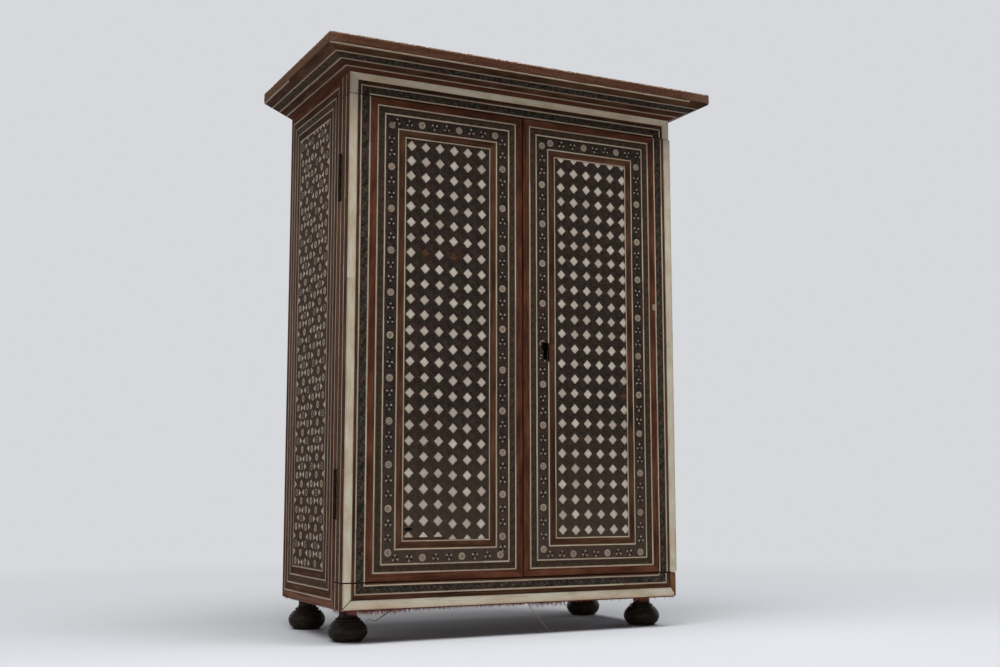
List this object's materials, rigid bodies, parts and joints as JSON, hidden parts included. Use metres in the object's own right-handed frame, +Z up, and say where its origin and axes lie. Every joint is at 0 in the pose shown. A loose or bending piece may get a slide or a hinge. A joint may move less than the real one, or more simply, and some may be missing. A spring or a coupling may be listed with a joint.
{
  "type": "marquetry table cabinet",
  "caption": "Small table cabinet on turned bun feet, with hinged doors, a flared cornice, bone edging, geometric inlay, a lock and shelves for small things.",
  "frame": {"origin": "on the surface under the feet, midway between the sides and midway between the cornice's front edge and the back", "axes": "+Z up, -Y out of the doors, +X to the right seen from the front"},
  "size_m": [0.305, 0.1516, 0.4008],
  "materials": {
    "carcass_wood": "oiled softwood, unfinished inside",
    "red_wood": "polished sandalwood, worn",
    "brown_wood": "polished dark brown banding",
    "dark_wood": "polished dark ground with fine inlay",
    "mosaic": "fine mosaic of ebony, stained bone and metal",
    "ebonised_wood": "turned and ebonised, waxed",
    "bone": "polished bone with fine grain",
    "iron": "blackened iron, worn",
    "brass": "dull old brass",
    "red_baize": "worn red baize"
  },
  "bodies": {
    "carcass": {"left_side_board": "carcass_wood", "right_side_board": "carcass_wood", "top_board": "carcass_wood", "bottom_board": "carcass_wood", "back_panel": "carcass_wood", "upper_shelf": "carcass_wood", "lower_shelf": "carcass_wood", "frieze_rail": "red_wood", "plinth_rail": "red_wood", "rail_edging": "bone", "rail_bands": "brown_wood", "rail_stringing": "bone", "left_side_bands": "brown_wood", "left_side_stringing": "bone", "left_side_field": "dark_wood", "right_side_bands": "brown_wood", "right_side_stringing": "bone", "right_side_field": "dark_wood", "cornice_front": "red_wood", "cornice_left": "red_wood", "cornice_right": "red_wood", "cornice_back": "carcass_wood", "cornice_bands": "brown_wood", "cornice_stringing": "bone", "top_panel": "red_wood", "front_left_foot": "ebonised_wood", "front_right_foot": "ebonised_wood", "back_left_foot": "ebonised_wood", "back_right_foot": "ebonised_wood", "base_baize": "red_baize", "left_upper_frame_leaf": "iron", "left_lower_frame_leaf": "iron", "right_upper_frame_leaf": "iron", "right_lower_frame_leaf": "iron", "hinge_pins": "iron", "frame_leaf_screws": "iron"},
    "left_door": {"left_door_board": "red_wood", "left_door_bands": "brown_wood", "left_door_stringing": "bone", "left_door_field": "dark_wood", "left_door_edging": "bone", "left_upper_door_leaf": "iron", "left_lower_door_leaf": "iron", "left_door_screws": "iron", "strike_plate": "brass", "bolt_guides": "brass"},
    "right_door": {"right_door_board": "red_wood", "right_door_bands": "brown_wood", "right_door_stringing": "bone", "right_door_field": "dark_wood", "right_door_edging": "bone", "right_upper_door_leaf": "iron", "right_lower_door_leaf": "iron", "right_door_screws": "iron", "lock_case": "brass", "lock_cap": "brass", "lock_spring": "iron"},
    "upper_bolt": {"upper_bolt": "brass"},
    "lower_bolt": {"lower_bolt": "brass"},
    "lock_bolt": {"lock_bolt": "brass"}
  },
  "joints": [
    {"name": "left_door_hinge", "type": "hinge", "parent": "carcass", "child": "left_door", "pos_m": [-0.1306, -0.0371, 0.2025], "axis": [0, 0, -1], "range_deg": [0, 180]},
    {"name": "right_door_hinge", "type": "hinge", "parent": "carcass", "child": "right_door", "pos_m": [0.1316, -0.0371, 0.2025], "axis": [0, 0, 1], "range_deg": [0, 180]},
    {"name": "upper_bolt_slide", "type": "slide", "parent": "left_door", "child": "upper_bolt", "axis": [0, 0, 1], "range_m": [0, 0.012]},
    {"name": "lower_bolt_slide", "type": "slide", "parent": "left_door", "child": "lower_bolt", "axis": [0, 0, -1], "range_m": [0, 0.012]},
    {"name": "lock_bolt_slide", "type": "slide", "parent": "right_door", "child": "lock_bolt", "axis": [-1, 0, 0], "range_m": [0, 0.006]}
  ]
}
